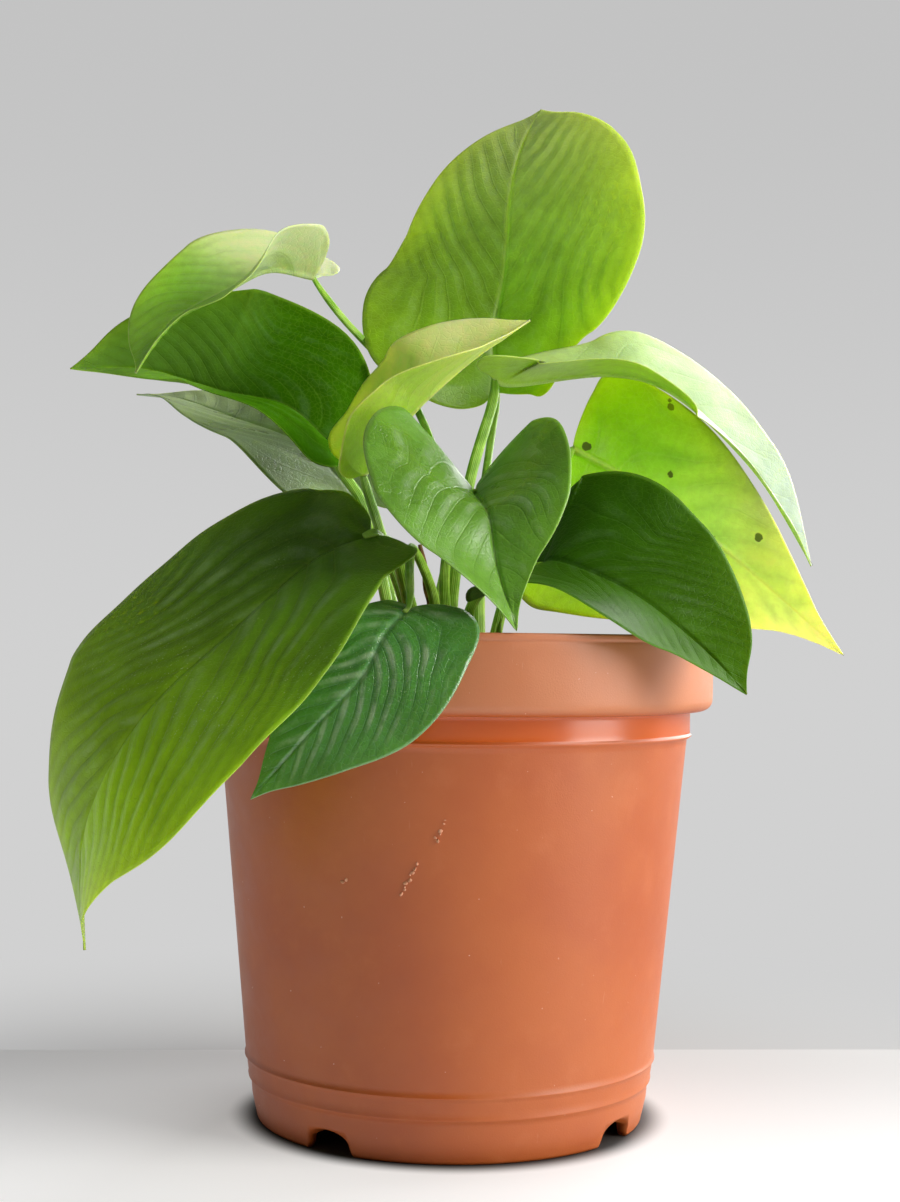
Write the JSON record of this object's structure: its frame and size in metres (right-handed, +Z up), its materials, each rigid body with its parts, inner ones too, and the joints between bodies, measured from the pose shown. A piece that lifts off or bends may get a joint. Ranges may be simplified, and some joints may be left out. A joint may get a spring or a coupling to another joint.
{
  "type": "potted plant",
  "caption": "Small potted pothos plant: heart-shaped leaves on curved stalks, rising from mix in a round tapered pot with a rim skirt and drain notches.",
  "frame": {"origin": "on the pot's axis at the ground that its foot ring rests on, which is also the middle of the whole plant's box in X and Y", "axes": "+Z up along the pot's axis, +X to the plant's right side where the arching leaf hangs, -Y to the front where the largest leaf hangs over the rim"},
  "size_m": [0.1943, 0.1722, 0.2623],
  "materials": {
    "terracotta_plastic": "satin moulded plastic in terracotta orange",
    "potting_mix": "rough dark peat mix",
    "leaf_green": "waxy green leaf",
    "stem_green": "smooth green stalk",
    "dry_sheath": "dry papery brown"
  },
  "bodies": {
    "root": {"dried_sheath": "dry_sheath", "leaf_01": "leaf_green", "leaf_02": "leaf_green", "leaf_03": "leaf_green", "leaf_04": "leaf_green", "leaf_05": "leaf_green", "leaf_06": "leaf_green", "leaf_07": "leaf_green", "leaf_08": "leaf_green", "leaf_09": "leaf_green", "leaf_10": "leaf_green", "leaf_11": "leaf_green", "pot": "terracotta_plastic", "potting_mix": "potting_mix", "stalk_01": "stem_green", "stalk_02": "stem_green", "stalk_03": "stem_green", "stalk_04": "stem_green", "stalk_05": "stem_green", "stalk_06": "stem_green", "stalk_07": "stem_green", "stalk_08": "stem_green", "stalk_09": "stem_green", "stalk_10": "stem_green", "stalk_11": "stem_green", "vine_left": "stem_green", "vine_middle": "stem_green", "vine_right": "stem_green", "young_shoot": "stem_green"}
  },
  "joints": []
}
